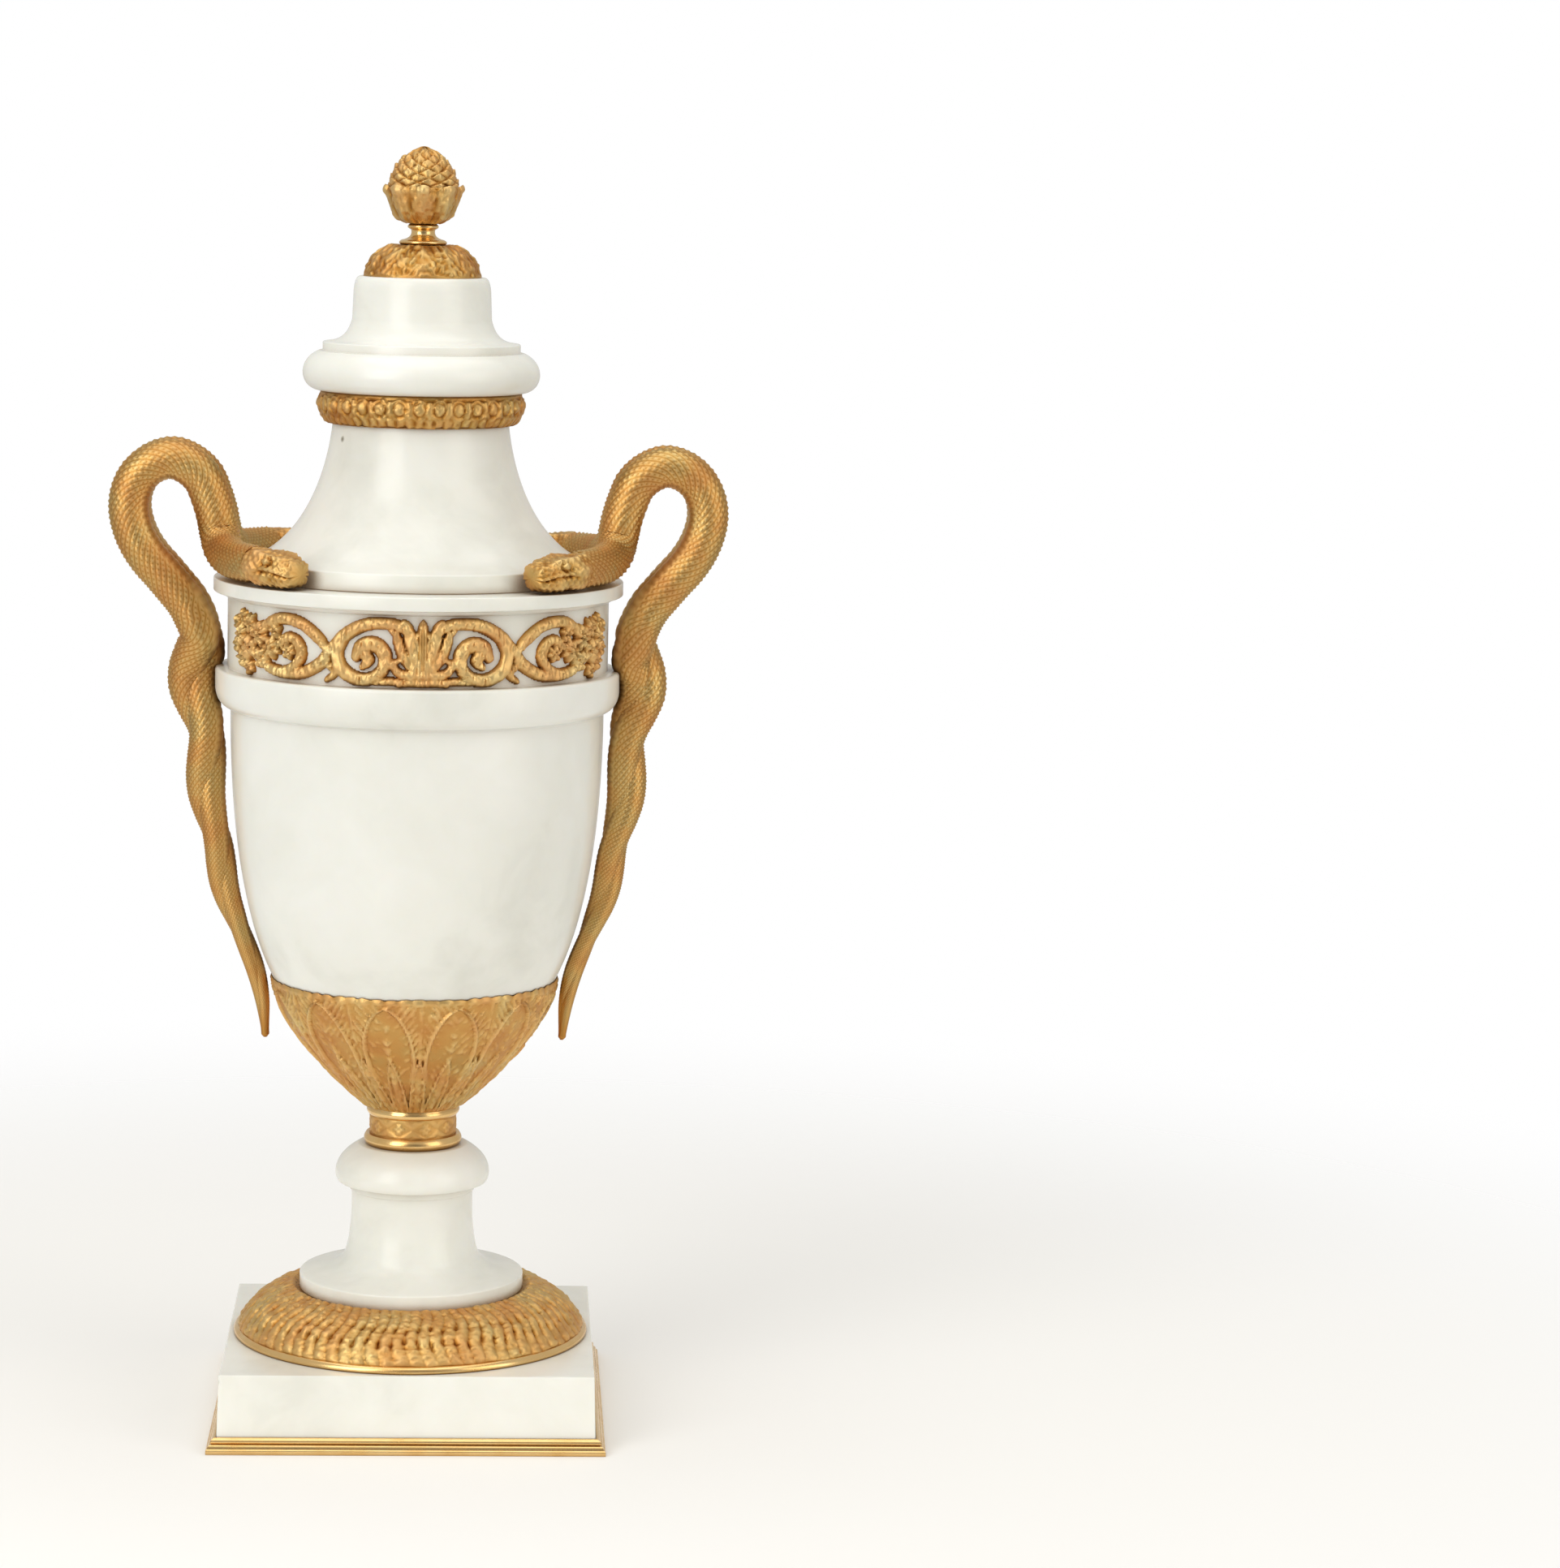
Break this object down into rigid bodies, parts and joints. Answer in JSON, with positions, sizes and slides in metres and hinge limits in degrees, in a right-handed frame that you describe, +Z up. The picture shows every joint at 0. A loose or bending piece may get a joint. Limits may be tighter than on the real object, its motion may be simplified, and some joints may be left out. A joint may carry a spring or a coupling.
{
  "type": "vase",
  "caption": "Lidded urn-shaped marble vase with gilt bronze mounts, entwined serpent handles and a square plinth.",
  "frame": {"origin": "centre of the plinth's underside, on the surface that the vase stands on", "axes": "+Z up along the vase's axis, the front with its scroll plaque towards -Y, the handles along X"},
  "size_m": [0.2142, 0.144, 0.45],
  "materials": {
    "white_marble": "polished white marble with faint grey clouds",
    "matt_gilt_bronze": "chased and matt gilt",
    "burnished_gilt_bronze": "burnished gilt"
  },
  "bodies": {
    "root": {"plinth_trim": "burnished_gilt_bronze", "plinth": "white_marble", "foot_ring": "matt_gilt_bronze", "foot": "white_marble", "collar": "matt_gilt_bronze", "cup": "matt_gilt_bronze", "body": "white_marble", "frieze_front": "matt_gilt_bronze", "frieze_back": "matt_gilt_bronze", "handle_left": "matt_gilt_bronze", "handle_right": "matt_gilt_bronze", "neck": "white_marble", "neck_band": "matt_gilt_bronze", "lid": "white_marble", "lid_cap": "matt_gilt_bronze", "finial": "matt_gilt_bronze"}
  },
  "joints": []
}
